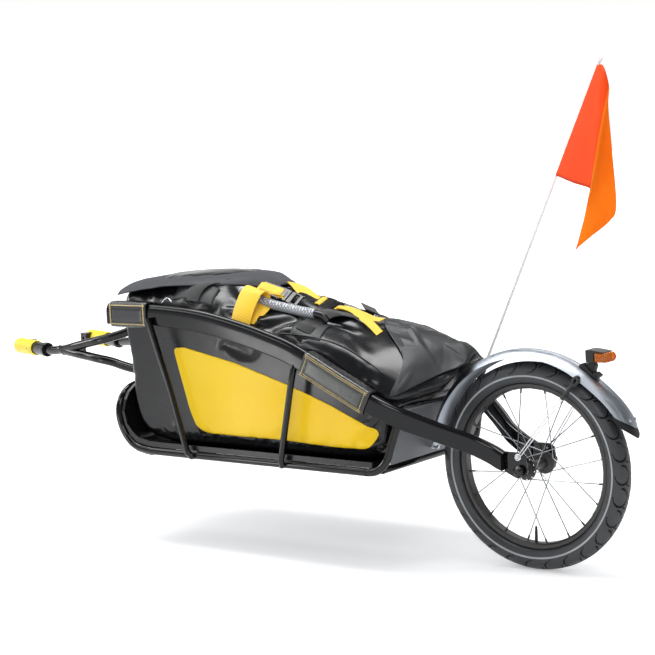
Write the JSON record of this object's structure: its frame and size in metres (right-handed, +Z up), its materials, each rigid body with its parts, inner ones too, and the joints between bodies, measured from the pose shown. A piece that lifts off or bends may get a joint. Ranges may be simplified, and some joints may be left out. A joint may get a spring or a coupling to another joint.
{
  "type": "single-wheel bicycle trailer",
  "caption": "Single-wheel bicycle cargo trailer with a hitch yoke, hoop frame, roll-top bag, fender, tail lamp and a flag on a pole.",
  "frame": {"origin": "middle of the bicycle's rear axle, halfway between the two hitch jaws", "axes": "+X forwards along the trailer, +Y to its left, +Z up; the yoke stands turned 17 degrees to the right"},
  "size_m": [1.642, 0.4174, 0.9654],
  "materials": {
    "black_paint": "gloss powder coat",
    "black_anodised": "satin anodised",
    "yellow_plastic": "gloss",
    "black_plastic": "gloss moulded",
    "matt_black_plastic": "matt moulded",
    "steel": "zinc plated",
    "spoke_wire": "bright drawn",
    "lever_alloy": "satin black",
    "grey_panel": "satin",
    "wrap_leather": "semi-gloss, stitched",
    "polished_aluminium": "polished",
    "amber_lens": "clear amber",
    "tyre_rubber": "satin",
    "tube_rubber": "matt",
    "white_pole": "gloss fibreglass",
    "orange_cloth": "woven nylon",
    "tarpaulin": "gloss coated, yellow side panel",
    "grey_cloth": "matt coated",
    "yellow_webbing": "woven",
    "grip_webbing": "woven tube"
  },
  "bodies": {
    "yoke": {"yoke_frame": "black_paint", "hitch_socket_left": "black_plastic", "hitch_socket_right": "black_plastic", "lock_spring_left": "steel", "lock_spring_right": "steel", "king_pin": "steel", "king_pin_nut": "steel"},
    "sleeve_left": {"lock_sleeve_left": "yellow_plastic"},
    "sleeve_right": {"lock_sleeve_right": "yellow_plastic"},
    "frame": {"top_rail_left": "black_paint", "top_rail_right": "black_paint", "base_loop": "black_paint", "front_bar": "black_paint", "head_tube": "black_paint", "rear_cross_tube": "black_paint", "rear_panel": "grey_panel", "tray": "black_plastic", "skid_strip": "matt_black_plastic", "dropout_left": "black_paint", "dropout_right": "black_paint", "wrap_front_left": "wrap_leather", "wrap_front_right": "wrap_leather", "wrap_rear_left": "wrap_leather", "wrap_rear_right": "wrap_leather", "fender": "polished_aluminium", "mudflap": "matt_black_plastic", "fender_bolt": "steel", "stay_left": "steel", "stay_right": "steel", "stay_bolt_left": "steel", "stay_bolt_right": "steel", "light_bracket": "matt_black_plastic", "flag_socket": "black_anodised", "pivot_bush_upper": "matt_black_plastic", "pivot_bush_lower": "matt_black_plastic", "axle": "steel", "skewer": "steel", "skewer_nut": "steel"},
    "wheel": {"tyre": "tyre_rubber", "inner_tube": "tube_rubber", "rim": "black_anodised", "spokes_left": "spoke_wire", "spokes_right": "spoke_wire", "hub_shell": "black_anodised", "bearing_left": "steel", "bearing_right": "steel"},
    "lever": {"quick_release_lever": "lever_alloy"},
    "lamp": {"light_housing": "black_plastic", "light_lens": "amber_lens"},
    "flagpole": {"flag_pole": "white_pole", "flag": "orange_cloth"},
    "bag": {"bag_body": "tarpaulin", "bag_flap": "grey_cloth", "strap_wide": "yellow_webbing", "strap_long": "yellow_webbing", "buckle_wide": "matt_black_plastic", "buckle_long": "matt_black_plastic", "handle_grip": "grip_webbing"}
  },
  "joints": [
    {"name": "steer", "type": "hinge", "parent": "yoke", "child": "frame", "pos_m": [-0.3777, 0.1155, 0], "axis": [0, 0, 1], "range_deg": [-77, 43]},
    {"name": "wheel_spin", "type": "hinge", "parent": "frame", "child": "wheel", "pos_m": [-1.3727, 0.1155, -0.171], "axis": [0, 1, 0], "continuous": true},
    {"name": "sleeve_left_slide", "type": "slide", "parent": "yoke", "child": "sleeve_left", "axis": [-0.9563, 0.2924, 0], "range_m": [0, 0.016], "stiffness_N_per_m": 250, "springref_m": -0.008},
    {"name": "sleeve_right_slide", "type": "slide", "parent": "yoke", "child": "sleeve_right", "axis": [-0.9563, 0.2924, 0], "range_m": [0, 0.016], "stiffness_N_per_m": 250, "springref_m": -0.008},
    {"name": "lamp_tilt", "type": "hinge", "parent": "frame", "child": "lamp", "pos_m": [-1.5027, 0.1155, 0.04], "axis": [0, 1, 0], "range_deg": [-20, 20]},
    {"name": "lever_swing", "type": "hinge", "parent": "frame", "child": "lever", "pos_m": [-1.3727, 0.0495, -0.171], "axis": [0, 0, 1], "range_deg": [-170, 0]},
    {"name": "pole_lift", "type": "slide", "parent": "frame", "child": "flagpole", "axis": [-0.4234, 0, 0.9059], "range_m": [0, 0.2]},
    {"name": "bag_lift", "type": "slide", "parent": "frame", "child": "bag", "axis": [0, 0, 1], "range_m": [0, 0.35]}
  ]
}
